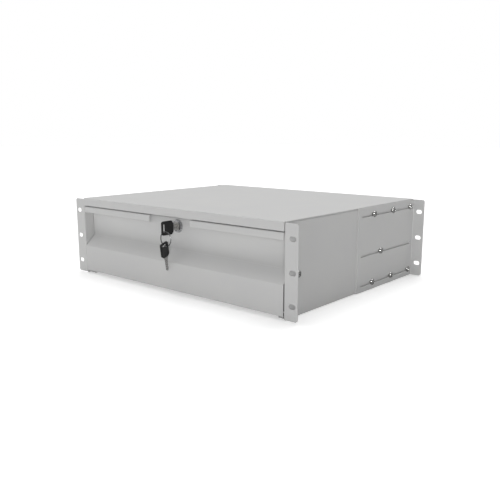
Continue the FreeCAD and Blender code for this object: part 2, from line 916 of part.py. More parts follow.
def make_key_blade():
    """Flat blade with a milled groove on each side and the bitting along its top edge."""
    root = bow_rear - blade_root
    tip = bow_rear + blade_length
    half = blade_height / 2
    side = blade_thickness / 2
    level = lock_level
    shoulder = blade_shoulder_height / 2
    shoulder_end = bow_rear + blade_shoulder_length
    starts = wafer_starts()
    top = [(root, level + half), (bow_rear, level + half), (bow_rear, level + shoulder)]
    top += [(shoulder_end, level + shoulder), (shoulder_end, level + half)]
    top.append((starts[0] - bitting_play - bitting_rise, level + half))
    for start, depth in zip(starts, bitting_depths):
        top.append((start - bitting_play, level + half - depth))
        top.append((start + wafer_thickness + bitting_play, level + half - depth))
    slope = tip - blade_tip_length / 2
    top.append((slope, level + half / 2))
    outline = top + [(tip, level), (slope, level - half), (shoulder_end, level - half)]
    outline += [(shoulder_end, level - shoulder), (bow_rear, level - shoulder)]
    outline += [(bow_rear, level - half), (root, level - half)]
    blade = prism(outline, in_yz(-side), x_axis * blade_thickness)
    groove_cuts = []
    for hand in (-1, 1):
        low = (hand * (side - blade_groove), shoulder_end + blade_groove_start, level - half * blade_groove_low)
        high = (hand * (side + 1), tip + 1, level - half * blade_groove_high)
        groove_cuts.append(box(low, high))
    return cut(blade, groove_cuts)


def make_key_bow():
    """Moulded head with a slot for the ring and a pocket that the blade fills."""
    upper = key_outline()
    lower = [(y, -height) for y, height in reversed(upper)]
    outline = [(y, bow_level + height) for y, height in upper + lower]
    bow = prism(outline, in_yz(-bow_thickness / 2), x_axis * bow_thickness)
    corners = []
    for edge in bow.Edges:
        if edge.BoundBox.YLength < 0.01 and edge.BoundBox.ZLength < 0.01:
            corners.append(edge)
    bow = bow.makeFillet(bow_corner, corners)
    slot_y = bow_rear - bow_length + bow_slot_setback
    place = Vector(0, slot_y, bow_level)
    depth = bow_thickness * 2
    slot = slot_cutter(
        place, z_axis, x_axis, bow_slot_length, bow_slot_width, depth, slot_end_sides
    )
    pocket = box(
        (-blade_thickness / 2, bow_rear - blade_root, lock_level - blade_height / 2),
        (blade_thickness / 2, bow_rear, lock_level + blade_height / 2),
    )
    return cut(bow, [slot, pocket])


def ring_pivot():
    """Where the ring's wire lies in the slot of the inserted key."""
    level = bow_level - bow_slot_length / 2 + ring_wire_height / 2 + ring_seat_gap
    return Vector(0, bow_rear - bow_length + bow_slot_setback, level)


def ring_centre():
    """The ring leans to the right of the place where it is held."""
    angle = math.radians(ring_tilt)
    return ring_pivot() + Vector(math.sin(angle), 0, -math.cos(angle)) * ring_radius


def spare_pivot():
    """Where the spare key hangs, to the left of the ring's lowest point."""
    angle = math.radians(spare_place)
    return ring_centre() - Vector(math.sin(angle), 0, math.cos(angle)) * ring_radius


def make_ring():
    """Ring of flattened wire, hanging in a plane parallel to the front."""
    centre = ring_centre()
    inner = ring_radius - ring_wire_height / 2
    outer = ring_radius + ring_wire_height / 2
    half = ring_wire_width / 2
    hoop = faceted_rod(outer, ring_wire_width, centre - y_axis * half, y_axis, ring_sides)
    return hoop.cut(faceted_rod(inner, ring_wire_width, centre - y_axis * half, y_axis, ring_sides))


def hung(shape):
    """Moves a copy of the inserted key to where the spare hangs, bow up, leaning to the front."""
    slot_y = bow_rear - bow_length + bow_slot_setback
    seat = bow_slot_width / 2 - ring_wire_height / 2 - ring_seat_gap
    grip = Vector(0, slot_y - seat, bow_level)
    spare = shape.copy()
    spare.translate(-grip)
    spare.rotate(origin, x_axis, -90 + spare_lean)
    spare.rotate(origin, y_axis, -spare_roll)
    spare.rotate(origin, z_axis, spare_turn)
    spare.translate(spare_pivot())
    return spare


os.makedirs("parts", exist_ok=True)

save("top_cover", make_cover())
save_pair("side_panel", make_side_panel())
save("rear_panel", make_rear_panel())
save("lock_strike", make_strike())
save_pair("rear_bracket", make_bracket())
save_pair("bracket_screws", make_bracket_screws())
save_pair("bracket_nuts", make_bracket_nuts())

save_pair("outer_rail", make_outer_rail())
save_pair("middle_rail", make_middle_rail())
save_pair("inner_rail", make_inner_rail())
save_pair("rail_bumper", make_bumper())
save_pair("slide_screws", make_slide_screws())
save_pair("slide_nuts", make_slide_nuts())
save_pair("outer_cage", make_cage(outer_ball_offset, outer_ball_level, outer_ball_radius))
save_pair("outer_balls", make_balls(outer_ball_offset, outer_ball_level, outer_ball_radius))
save_pair("inner_cage", make_cage(inner_ball_offset, inner_ball_level, inner_ball_radius))
save_pair("inner_balls", make_balls(inner_ball_offset, inner_ball_level, inner_ball_radius))

save("drawer_front", make_drawer_front())
save("drawer_tray", make_tray())
save("drawer_back", make_tray_back())
save_pair("tray_screws", make_tray_screws())
save_pair("tray_nuts", make_tray_nuts())

save("lock_housing", make_lock_housing())
save("lock_nut", make_lock_nut())
save("lock_plug", make_plug())
save("lock_wafers", make_wafers())
save("lock_cam", make_cam())
save("cam_screw", make_cam_screw())

key_blade = make_key_blade()
key_bow = make_key_bow()
save("key_blade", key_blade)
save("key_bow", key_bow)
save("key_ring", make_ring())
save("spare_key_blade", hung(key_blade))
save("spare_key_bow", hung(key_bow))
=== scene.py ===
# Sliding rack drawer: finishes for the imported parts, finer metal and plastic pieces, camera and studio.
import bpy
import bmesh
import json
import math
import numpy as np
from mathutils import Matrix, Vector


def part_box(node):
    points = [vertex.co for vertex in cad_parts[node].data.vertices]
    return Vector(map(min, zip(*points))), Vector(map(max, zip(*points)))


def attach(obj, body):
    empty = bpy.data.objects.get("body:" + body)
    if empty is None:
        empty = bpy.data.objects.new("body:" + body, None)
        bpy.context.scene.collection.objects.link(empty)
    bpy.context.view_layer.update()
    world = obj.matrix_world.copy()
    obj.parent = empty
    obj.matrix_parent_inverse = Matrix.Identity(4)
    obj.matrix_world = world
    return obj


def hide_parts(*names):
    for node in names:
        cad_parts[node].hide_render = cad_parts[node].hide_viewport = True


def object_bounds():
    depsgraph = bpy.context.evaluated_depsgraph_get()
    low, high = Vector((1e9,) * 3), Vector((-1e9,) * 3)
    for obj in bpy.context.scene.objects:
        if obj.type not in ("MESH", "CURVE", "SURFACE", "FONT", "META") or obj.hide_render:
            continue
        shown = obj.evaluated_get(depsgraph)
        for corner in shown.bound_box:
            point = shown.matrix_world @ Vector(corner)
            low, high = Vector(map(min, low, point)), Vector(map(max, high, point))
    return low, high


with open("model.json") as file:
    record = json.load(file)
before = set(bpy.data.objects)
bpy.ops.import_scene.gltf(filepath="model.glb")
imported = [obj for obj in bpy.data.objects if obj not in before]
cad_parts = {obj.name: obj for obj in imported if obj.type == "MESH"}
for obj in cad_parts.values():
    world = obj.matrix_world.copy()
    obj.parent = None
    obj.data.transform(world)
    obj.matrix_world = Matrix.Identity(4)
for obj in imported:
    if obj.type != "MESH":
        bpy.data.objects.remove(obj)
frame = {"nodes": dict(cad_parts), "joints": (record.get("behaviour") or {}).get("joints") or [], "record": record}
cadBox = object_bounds()
mm = 0.001
record = frame["record"]
cadNodes = frame["nodes"]
joints = {joint["name"]: joint for joint in frame["joints"]}
print("frame loaded:", len(cadNodes), "nodes")


# Nodes and materials

def linearColour(hexColour):
    # Turns an sRGB hex value into linear red, green and blue, with an alpha of one.
    parts = np.array([int(hexColour[i:i + 2], 16) for i in (1, 3, 5)]) / 255
    low = parts / 12.92
    high = ((parts + 0.055) / 1.055) ** 2.4
    return tuple(np.where(parts <= 0.04045, low, high)) + (1.0,)


def addNode(tree, kind, settings=None, values=None, links=None):
    # Adds one node: settings are its properties, values its socket values, links its incoming sockets.
    node = tree.nodes.new(kind)
    for name, value in (settings or {}).items():
        setattr(node, name, value)
    for name, value in (values or {}).items():
        node.inputs[name].default_value = value
    for name, source in (links or {}).items():
        tree.links.new(source, node.inputs[name])
    return node


def newMaterial(name):
    # An empty node material and its output.
    material = bpy.data.materials.new(name)
    material.use_nodes = True
    tree = material.node_tree
    tree.nodes.clear()
    return material, tree, addNode(tree, "ShaderNodeOutputMaterial")


# Finishes

middleOfNoise = (0.3, 0.7)  # nearly all of a noise lies between these values


def makeFinish(name, look):
    # Each pattern is a noise with its spacing in millimetres along x, y and z. The cloud carries the colour
    # from one shade to the other, the grain carries the roughness between its limits, and each relief stands
    # its depth in millimetres above the last.
    material, tree, output = newMaterial(name)
    place = addNode(tree, "ShaderNodeTexCoord").outputs["Object"]
    noises = {}
    for pattern, (spacing, detail, rough) in look["patterns"].items():
        scale = [1 / (step * mm) for step in spacing]
        spaced = addNode(tree, "ShaderNodeMapping", values={"Scale": scale}, links={"Vector": place})
        noises[pattern] = addNode(tree, "ShaderNodeTexNoise",
                                  values={"Scale": 1, "Detail": detail, "Roughness": rough},
                                  links={"Vector": spaced.outputs["Vector"]}).outputs["Fac"]
    spread = {}
    for pattern, (low, high), (least, most) in (("cloud", look["middle"], (0, 1)),
                                                ("grain", middleOfNoise, look["roughness"])):
        spread[pattern] = addNode(tree, "ShaderNodeMapRange",
                                  values={"From Min": low, "From Max": high, "To Min": least, "To Max": most},
                                  links={"Value": noises[pattern]}).outputs["Result"]
    dark, light = [linearColour(colour) for colour in look["colours"]]
    colour = addNode(tree, "ShaderNodeMix", {"data_type": "RGBA"}, {6: dark, 7: light},
                     {"Factor": spread["cloud"]})
    normal = {}
    for pattern, depth in look["relief"].items():
        relief = addNode(tree, "ShaderNodeBump", values={"Strength": 1, "Distance": depth * mm},
                         links={"Height": noises[pattern], **normal})
        normal = {"Normal": relief.outputs["Normal"]}
    shader = addNode(tree, "ShaderNodeBsdfPrincipled", values=look["shader"],
                     links={"Base Color": colour.outputs[2], "Roughness": spread["grain"], **normal})
    tree.links.new(shader.outputs["BSDF"], output.inputs["Surface"])
    return material


# Polyester powder coat on steel: sprayed and baked, so it is satin, with soft orange peel and a fine grain.
# The real grain is about 0.2 mm; it is drawn at 0.7 mm so that it shows in the render.
powderCoat = {"colours": ("#C4C4C4", "#C6C6C5"), "middle": middleOfNoise, "roughness": (0.6, 0.68),
              "patterns": {"cloud": ((60, 60, 60), 2.0, 0.5), "peel": ((2.2, 2.2, 2.2), 2.0, 0.5),
                           "grain": ((0.7, 0.7, 0.7), 1.0, 0.5)},
              "relief": {"peel": 0.02, "grain": 0.01}, "shader": {"IOR": 1.5}}


def workedMetal(name, dark, light, roughness, cloud, lines, lineDepth):
    # Metal, plated or bare: its colour drifts a little, and the lines of its drawing or polishing show.
    return makeFinish(name, {"colours": (dark, light), "middle": (0.35, 0.65), "roughness": roughness,
                             "patterns": {"cloud": ((cloud,) * 3, 3.0, 0.5), "grain": (lines, 3.0, 0.6)},
                             "relief": {"grain": lineDepth}, "shader": {"Metallic": 1.0}})


def moulded(name, dark, light, roughness, spark, sparkDepth, ior):
    # Moulded plastic or rubber: nearly even colour, with the spark-eroded texture of the mould.
    return makeFinish(name, {"colours": (dark, light), "middle": middleOfNoise, "roughness": roughness,
                             "patterns": {"cloud": ((4, 4, 4), 2.0, 0.5), "grain": ((spark,) * 3, 2.0, 0.5)},
                             "relief": {"grain": sparkDepth}, "shader": {"IOR": ior}})


finishes = {
    "powder_coated_steel": makeFinish("satinPowderCoatedSteel", powderCoat),
    # Bright zinc on rolled strip: cool, faintly cloudy, with lines along the strip.
    "zinc_plated_steel": workedMetal("brightZincPlatedSteel", "#A6AAAE", "#BDC0C3", (0.28, 0.4), 9,
                                     (0.5, 12, 0.5), 0.004),
    # Polished nickel on turned screws: nearly neutral, sharp reflections.
    "nickel_plated_screws": workedMetal("polishedNickelPlatedScrews", "#BDBDBC", "#CDCDCB", (0.1, 0.16), 3,
                                        (0.4, 0.4, 0.4), 0.001),
    # Chrome on die-cast zinc: mirror bright and slightly blue.
    "chrome_plated_zinc": workedMetal("chromePlatedZincCasting", "#C2C3C5", "#D0D1D3", (0.06, 0.1), 3,
                                      (0.6, 0.6, 0.6), 0.001),
    # Nickel on turned brass: a little yellower and duller than chrome.
    "nickel_plated_brass": workedMetal("nickelPlatedBrassPlug", "#B9B8B6", "#C8C7C4", (0.25, 0.36), 2,
                                       (0.3, 2, 0.3), 0.002),
    # Stamped brass strip, left bare.
    "wafer_brass": workedMetal("stampedBrass", "#B08A45", "#C9A25A", (0.25, 0.38), 2, (0.3, 2, 0.3), 0.002),
    # Stamped steel strip with a trace of grease.
    "cage_steel": workedMetal("stampedSteelStrip", "#85888B", "#9A9DA0", (0.3, 0.45), 5,
                              (0.4, 8, 0.4), 0.003),
    # Ground and polished bearing steel.
    "bearing_steel": workedMetal("polishedBearingSteel", "#B4B6B9", "#C6C8CA", (0.06, 0.12), 2,
                                 (0.5, 0.5, 0.5), 0.0005),
    # Moulded rubber: black, matt.
    "black_rubber": moulded("mouldedBlackRubber", "#141414", "#1D1D1D", (0.7, 0.85), 0.6, 0.02, 1.52),
    # Nickel on stamped key blanks, rubbed along the blade.
    "key_steel": workedMetal("nickelPlatedKeyBlank", "#B4B3B1", "#C2C1BF", (0.2, 0.32), 2,
                             (0.3, 3, 0.3), 0.003),
    # Polypropylene moulded over the blade: black, satin, fine spark texture.
    "black_plastic": moulded("mouldedBlackPlastic", "#0B0B0C", "#131314", (0.38, 0.52), 0.5, 0.012, 1.49),
    # Hardened wire with a nickel flash.
    "ring_steel": workedMetal("nickelPlatedRingWire", "#8A8B8C", "#A5A6A7", (0.16, 0.26), 2,
                              (0.4, 0.4, 0.4), 0.001),
}
print("finishes made:", len(finishes))

for part in record["subparts"]:
    mesh = cadNodes[part["node"]].data
    mesh.materials.clear()
    mesh.materials.append(finishes[part["material_slot"]])


# Places from the frame, surfaces and pieces

def boxOf(node):
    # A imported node's lowest and highest corners in millimetres, to a thousandth.
    return np.round(np.array(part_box(node)) / mm, 3).tolist()


def pivotOf(name):
    # The point of a packed hinge in millimetres, to a thousandth.
    return np.round(np.array(joints[name]["pos_m"]) / mm, 3).tolist()


def between(first, last, inset, count):
    # Evenly spaced places from one side of a box to the other, drawn in by an inset at both.
    return np.linspace(first + inset, last - inset, count)


def gridFaces(rows, columns, loopRows, loopColumns):
    # Quads over a rows by columns grid of points; a loop joins the last row or column back to the first.
    r = np.arange(rows if loopRows else rows - 1)
    c = np.arange(columns if loopColumns else columns - 1)
    r, c = np.meshgrid(r, c, indexing="ij")
    nextR, nextC = (r + 1) % rows, (c + 1) % columns
    here, ahead = r * columns, nextR * columns
    quads = np.stack([here + c, ahead + c, ahead + nextC, here + nextC], axis=-1)
    return quads.reshape(-1, 4)


def surface(grid, loopRows=False, loopColumns=False):
    # A grid of points with its quads.
    rows, columns = grid.shape[:2]
    return grid.reshape(-1, 3), gridFaces(rows, columns, loopRows, loopColumns)


def together(parts):
    # Several (points, quads) pairs as one pair.
    starts = np.cumsum([0] + [len(points) for points, _ in parts[:-1]])
    return (np.concatenate([points for points, _ in parts]),
            np.concatenate([quads + start for (_, quads), start in zip(parts, starts)]))


def repeated(part, turn, places):
    # The same shape turned once and set down at each place.
    points, quads = part
    turned = points @ np.array(turn).T
    placed = (np.array(places)[:, None, :] + turned[None]).reshape(-1, 3)
    steps = np.arange(len(places))[:, None, None] * len(points)
    return placed, (quads[None] + steps).reshape(-1, 4)


meshCare = {"weld": 0.0004 * mm, "shortest": 0.0002 * mm, "sharpAngle": 35}


def addPiece(name, part, body, slot, replaces=(), sharp=meshCare["sharpAngle"]):
    # Makes the mesh in metres from millimetres, closes poles, points the faces outwards and lets it ride.
    points, quads = part
    mesh = bpy.data.meshes.new(name)
    mesh.from_pydata((points * mm).tolist(), [], quads.tolist())
    work = bmesh.new()
    work.from_mesh(mesh)
    bmesh.ops.remove_doubles(work, verts=work.verts, dist=meshCare["weld"])
    bmesh.ops.dissolve_degenerate(work, edges=work.edges, dist=meshCare["shortest"])
    bmesh.ops.recalc_face_normals(work, faces=work.faces)
    work.to_mesh(mesh)
    work.free()
    mesh.shade_smooth()
    mesh.set_sharp_from_angle(angle=math.radians(sharp))
    mesh.materials.append(finishes[slot])
    piece = bpy.data.objects.new(name, mesh)
    bpy.context.scene.collection.objects.link(piece)
    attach(piece, body)
    if replaces:
        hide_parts(*replaces)


def turnTo(direction):
    # Rotation that carries +Z onto a direction.
    return Vector(direction).to_track_quat("Z", "Y").to_matrix()


def turnedShape(profile, sides):
    # A profile of (radius, height) carried once round the Z axis.
    radius, height = np.array(profile, float).T
    angle = np.linspace(0, 2 * np.pi, sides, endpoint=False)
    grid = np.stack([radius[:, None] * np.cos(angle), radius[:, None] * np.sin(angle),
                     np.repeat(height[:, None], sides, axis=1)], axis=-1)
    return surface(grid, loopColumns=True)


tiny = 1e-9


def discGrid(lines, inner, radius):
    # Square grid that stays square out to inner, then spreads until its edge is the circle.
    # A point at share m from the inner square to the edge lies at (1 - m) * square + m * circle.
    s, t = np.meshgrid(lines, lines, indexing="ij")
    reach = np.maximum(np.maximum(abs(s), abs(t)), tiny)
    share = np.clip((reach - inner) / (lines[-1] - inner), 0, 1)
    onSquare = np.stack([s, t], -1) / reach[..., None] * inner
    onCircle = np.stack([s, t], -1) / np.maximum(np.hypot(s, t), tiny)[..., None] * radius
    flat = np.where(share[..., None] > 0, onSquare * (1 - share[..., None]) + onCircle * share[..., None],
                    np.stack([s, t], -1))
    return flat, share


def mirroredLines(values):
    # A rising set of lines from minus the last value to the last value.
    values = np.array(values, float)
    return np.concatenate([-values[::-1], values if values[0] > 0 else values[1:]])


# Cross-recessed pan head screws

caseScrew = {"headRadius": 5.0, "headHeight": 3.5, "rim": 1.1, "crossReach": 2.5, "crossWidth": 0.62,
             "crossDepth": 1.9, "shank": 2.45, "pitch": 0.8, "threadDepth": 0.4}
traySlideScrew = {"headRadius": 3.9, "headHeight": 2.4, "rim": 0.8, "crossReach": 1.9, "crossWidth": 0.5,
                  "crossDepth": 1.4, "shank": 1.95, "pitch": 0.7, "threadDepth": 0.32}
screwMesh = {"inner": 1.12, "widthLines": (0.8, 1, 1.6), "reachLines": (0.62, 0.94, 1, 1.12),
             "rimSteps": (0.4, 0.8, 1.15, 1.4), "wallShare": 0.2, "slopeShare": 0.38, "lift": 1e-6,
             "sides": 48, "edge": 0.18, "rowsPerTurn": 5, "fewestRows": 8}


def screwShape(size, reach):
    # Head: height = rim + dome * sqrt(1 - (r / R)^2) less a cross whose arms slope in to the middle.
    # Shank: radius = shank - depth * saw(z / pitch - angle / turn), closed by a flat end.
    # The grid's lines follow the cross: its arms' width w and reach a, then steps out to the rim.
    s = screwMesh
    w, a, bigR = size["crossWidth"], size["crossReach"], size["headRadius"]
    inner = a * s["inner"]
    crossLines = [w * share for share in s["widthLines"]] + [a * share for share in s["reachLines"]]
    lines = mirroredLines([0] + crossLines + [inner + step for step in s["rimSteps"]])
    flat, share = discGrid(lines, inner, bigR)
    r = np.hypot(flat[..., 0], flat[..., 1])
    dome = size["rim"] + (size["headHeight"] - size["rim"]) * np.sqrt(np.clip(1 - (r / bigR) ** 2, 0, 1))
    x, y = abs(flat[..., 0]), abs(flat[..., 1])
    across, along = np.minimum(x, y), np.maximum(x, y)
    walls = np.clip((w - across) / (s["wallShare"] * w) + s["lift"], 0, 1)
    slope = np.clip((a - along) / (a * s["slopeShare"]), 0, 1)
    recess = size["crossDepth"] * walls * slope * (share == 0)
    top = np.concatenate([flat, (dome - recess)[..., None]], -1)
    edge = np.linspace(0, 2 * np.pi, s["sides"], endpoint=False)
    soft = s["edge"]
    skirt = [(bigR, size["rim"]), (bigR, soft), (bigR - soft, 0), (size["shank"], 0)]
    skirtPart = turnedShape(skirt, s["sides"])
    turns = round(reach / size["pitch"], 3)
    rows = max(int(turns * s["rowsPerTurn"]), s["fewestRows"])
    height = -np.linspace(0, reach, rows)
    phase = (height[:, None] / size["pitch"] - edge[::2][None] / (2 * np.pi)) % 1
    fade = np.clip((reach + height) / size["pitch"], 0, 1)[:, None]
    radius = size["shank"] - size["threadDepth"] * abs(2 * phase - 1) * fade
    radius[0] = size["shank"]
    radius = np.concatenate([radius, radius[-1:] * 0.0])
    height = np.append(height, -reach)
    shank = np.stack([radius * np.cos(edge[::2]), radius * np.sin(edge[::2]),
                      np.repeat(height[:, None], s["sides"] // 2, axis=1)], -1)
    return together([surface(top), skirtPart, surface(shank, loopColumns=True)])


screwPlaces = {"bracketThickness": 2.0, "bracketRows": 2, "inRow": 3}


def makeScrews(side, hand):
    # One side's screws: six in the bracket, two that hold the slide and three that hold the tray. They sit
    # where the right side's packed screws do, mirrored for the left.
    s = screwPlaces
    outwards, inwards = turnTo((hand, 0, 0)), turnTo((-hand, 0, 0))
    radius = caseScrew["headRadius"]
    low, high = boxOf("right_bracket_screws")
    bracketFace = high[0] - caseScrew["headHeight"]
    seats = [(hand * bracketFace, y, z) for z in between(low[2], high[2], radius, s["bracketRows"])
             for y in between(high[1], low[1], -radius, s["inRow"])]
    screw = screwShape(caseScrew, bracketFace - low[0])
    addPiece(side + "_bracket_screw_set", repeated(screw, outwards, seats), "case", "nickel_plated_screws",
             [side + "_bracket_screws"])
    low, high = boxOf("right_slide_screws")
    level = (low[2] + high[2]) / 2
    faces = (bracketFace - s["bracketThickness"], bracketFace)
    pair = [repeated(screwShape(caseScrew, face - low[0]), outwards, [(hand * face, y, level)])
            for face, y in zip(faces, between(low[1], high[1], radius, len(faces)))]
    addPiece(side + "_slide_screw_pair", together(pair), "case", "nickel_plated_screws",
             [side + "_slide_screws"])
    low, high = boxOf("right_tray_screws")
    level = (low[2] + high[2]) / 2
    trayFace = low[0] + traySlideScrew["headHeight"]
    seats = [(hand * trayFace, y, level)
             for y in between(low[1], high[1], traySlideScrew["headRadius"], s["inRow"])]
    screw = screwShape(traySlideScrew, high[0] - trayFace)
    addPiece(side + "_tray_screw_set", repeated(screw, inwards, seats), "drawer", "zinc_plated_steel",
             [side + "_tray_screws"])


hands = (("left", -1), ("right", 1))
for side, hand in hands:
    makeScrews(side, hand)
print("screws made")


# Cam lock: bezel, threaded barrel and plug face

sheet = 1.2  # thickness of the drawer's steel
lockFace, lockLevel = pivotOf("lock_turn")[1:]
lockFlange, lockEnd, _ = boxOf("lock_housing")[1]
pocketDepth = boxOf("drawer_front")[1][1] - sheet
lockSize = {"level": lockLevel, "wall": pocketDepth, "face": lockFace, "flange": lockFlange,
            "flangeEdge": 1.0, "faceRadius": 8.7, "bore": 6.05, "counterbore": 6.85, "counterboreDepth": 1.45,
            "barrel": 9.5, "flat": 8.0, "end": lockEnd, "pitch": 1.0, "threadDepth": 0.45,
            "threadStart": 1.2, "threadRows": 90, "flatStart": 1.0, "sides": 72, "softEdge": 0.35,
            "mouthBevel": 0.5, "rimBevel": ((-1, 0), (-0.2, 0.25), (0.2, 1)), "flangeBevel": (0.15, 0.4),
            "sharpAngle": 28}


def lockHousingShape():
    # Profile (radius, y) carried round Y. Behind the wall the radius waves as a thread, and x is held inside
    # the flats. The bevels are shares of the soft edge.
    s = lockSize
    soft = s["softEdge"]
    mouth, floor = s["counterbore"], s["face"] + s["counterboreDepth"]
    flangeIn, flangeBack = [soft * share for share in s["flangeBevel"]]
    flangeFront = s["wall"] - s["flangeEdge"]
    head = [(s["bore"], s["end"]), (s["bore"], floor), (mouth, floor),
            (mouth, s["face"] + soft * s["mouthBevel"]), (mouth + soft * s["mouthBevel"], s["face"])]
    head += [(s["faceRadius"] + soft * out, s["face"] + soft * back) for out, back in s["rimBevel"]]
    head += [(s["flange"] - flangeIn, flangeFront - flangeBack), (s["flange"], flangeFront),
             (s["flange"], s["wall"]), (s["barrel"], s["wall"])]
    y = np.linspace(s["wall"] + s["threadStart"], s["end"], s["threadRows"])
    profileRadius = np.concatenate([[p[0] for p in head], np.full(len(y), s["barrel"]), [s["bore"]]])
    profileY = np.concatenate([[p[1] for p in head], y, [s["end"]]])
    angle = np.linspace(0, 2 * np.pi, s["sides"], endpoint=False)
    phase = (profileY[:, None] / s["pitch"] - angle[None] / (2 * np.pi)) % 1
    thread = np.zeros_like(phase)
    thread[len(head):-1] = s["threadDepth"] * abs(2 * phase[len(head):-1] - 1)
    radius = profileRadius[:, None] - thread
    x = radius * np.cos(angle)
    z = radius * np.sin(angle)
    behind = profileY[:, None] >= s["wall"] + s["flatStart"]
    x = np.where(behind, np.clip(x, -s["flat"], s["flat"]), x)
    grid = np.stack([x, np.repeat(profileY[:, None], s["sides"], axis=1), z + s["level"]], -1)
    return surface(grid, loopColumns=True)


addPiece("lock_bezel_and_barrel", lockHousingShape(), "drawer", "chrome_plated_zinc", ["lock_housing"],
         sharp=lockSize["sharpAngle"])

plugSize = {"radius": 6.75, "plugFace": boxOf("lock_plug")[0][1], "sunk": 0.02, "thickness": 0.3,
            "keyHalfWidth": 1.12, "keyHalfHeight": 3.7, "keyWallWidth": 0.98, "keyWallHeight": 0.995,
            "keySkin": 0.02, "softEdge": 0.12, "softPart": 1 / 3, "acrossLines": (2.0, 3.2),
            "rimLines": (4.5, 4.9, 5.2)}


def borderOf(grid):
    # The points round the edge of a grid, in order.
    return np.concatenate([grid[0], grid[1:, -1], grid[-1, -2::-1], grid[-2:0:-1, 0]])


def plugFaceShape():
    # Disc on a square grid whose middle cells drop back to make the keyway; y is the front plus the drop.
    # The keyway's walls lie between a share of its half sizes and the whole, and the rim rounds off over its
    # outer part.
    s = plugSize
    lines = mirroredLines([0, s["keyHalfWidth"] * s["keyWallWidth"], s["keyHalfWidth"], *s["acrossLines"],
                           s["keyHalfHeight"] * s["keyWallHeight"], s["keyHalfHeight"], *s["rimLines"]])
    flat, share = discGrid(lines, s["rimLines"][0], s["radius"])
    key = (abs(flat[..., 0]) < s["keyHalfWidth"]) & (abs(flat[..., 1]) < s["keyHalfHeight"])
    soft = s["softEdge"] * np.clip(1 - (1 - share) / s["softPart"], 0, 1)
    backLevel = s["plugFace"] + s["sunk"]
    y = np.where(key, backLevel - s["keySkin"], backLevel - s["thickness"] + soft)
    front = np.stack([flat[..., 0], y, flat[..., 1] + lockSize["level"]], -1)
    back = front.copy()
    back[..., 1] = backLevel
    wall = np.stack([borderOf(front), borderOf(back)])
    return together([surface(front), surface(back), surface(wall, loopColumns=True)])


addPiece("lock_plug_face", plugFaceShape(), "plug", "nickel_plated_brass")
print("lock made")


# Drawer front

pocket = {"depth": pocketDepth, "fold": -0.2, "top": 38.0, "leanAtTop": -35.0, "leanAtFold": 36.0,
          "leanAtKnee": 20.0, "smallestFace": 60.0, "nearWall": 0.05, "wallFacing": 0.999, "sillFacing": 0.5}


def readAll(items, name, width, kind=float):
    # One property of every item of a mesh as an array.
    values = np.empty(len(items) * width, kind)
    items.foreach_get(name, values)
    return values.reshape(-1, width) if width > 1 else values


def hollowFront():
    # The folded front once more, shaded as if its pocket were pressed a little hollow. The wall's normals
    # lean up at the fold and down under the grip strip, in step with the height, and the sill's lean less
    # towards its front edge, in step with the depth. Every other wide face keeps its one normal.
    mesh = cadNodes["drawer_front"].data.copy()
    work = bmesh.new()
    work.from_mesh(mesh)
    bmesh.ops.remove_doubles(work, verts=work.verts, dist=meshCare["weld"])
    work.to_mesh(mesh)
    work.free()
    mesh.shade_smooth()
    mesh.set_sharp_from_angle(angle=math.radians(meshCare["sharpAngle"]))
    s = pocket
    ends = readAll(mesh.loops, "vertex_index", 1, int)
    points = readAll(mesh.vertices, "co", 3)[ends] / mm
    sides = readAll(mesh.polygons, "loop_total", 1, int)
    flat = np.repeat(readAll(mesh.polygons, "normal", 3), sides, axis=0)
    wide = np.repeat(readAll(mesh.polygons, "area", 1), sides) > s["smallestFace"] * mm * mm
    normals = readAll(mesh.corner_normals, "vector", 3)
    normals[wide] = flat[wide]
    y, z = points[:, 1], points[:, 2]
    wall = (flat[:, 1] < -s["wallFacing"]) & (np.abs(y - s["depth"]) < s["nearWall"])
    sill = wide & (flat[:, 1] < -s["sillFacing"]) & (flat[:, 2] > s["sillFacing"])
    rise = np.clip((z - s["fold"]) / (s["top"] - s["fold"]), 0, 1)
    back = np.clip(y / s["depth"], 0, 1)
    lean = np.radians(np.where(wall, s["leanAtFold"] + (s["leanAtTop"] - s["leanAtFold"]) * rise,
                               s["leanAtKnee"] + (s["leanAtFold"] - s["leanAtKnee"]) * back))
    leaning = np.stack([0 * lean, -np.cos(lean), np.sin(lean)], 1)
    normals[wall | sill] = leaning[wall | sill]
    mesh.normals_split_custom_set(normals.tolist())
    piece = bpy.data.objects.new("drawer_front_sheet", mesh)
    bpy.context.scene.collection.objects.link(piece)
    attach(piece, "drawer")
    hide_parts("drawer_front")


hollowFront()
print("drawer front made")


# Keys and split ring

bowLow, bowHigh = boxOf("key_bow")
bowSize = {"rear": bowHigh[1], "length": bowHigh[1] - bowLow[1], "height": bowHigh[2] - bowLow[2],
           "drop": lockSize["level"] - (bowLow[2] + bowHigh[2]) / 2, "thickness": bowHigh[0] - bowLow[0],
           "corner": 3.0, "shoulderLength": 3.4, "shoulderHeight": 12.0, "slotLength": 13.5, "slotWidth": 3.6,
           "slotSetback": 4.5, "slotRound": 0.99, "slotEdge": 0.25, "slotLines": (1.0, 1.3),
           "middleShift": 1.0, "edge": 0.7, "borderWidth": 1.6, "borderDepth": 0.2, "borderSlope": 0.35,
           "rearCorner": 1.6, "shoulderCorner": 1.2, "round": 144, "bend": (0, 30, 60, 90)}


def endsClosed(grid):
    # A tube's rows with one more at each end, drawn together at its middle.
    first, last = [np.repeat(row.mean(1, keepdims=True), grid.shape[1], 1) for row in (grid[:1], grid[-1:])]
    return np.concatenate([first, grid, last], 0)


arcSteps = 9


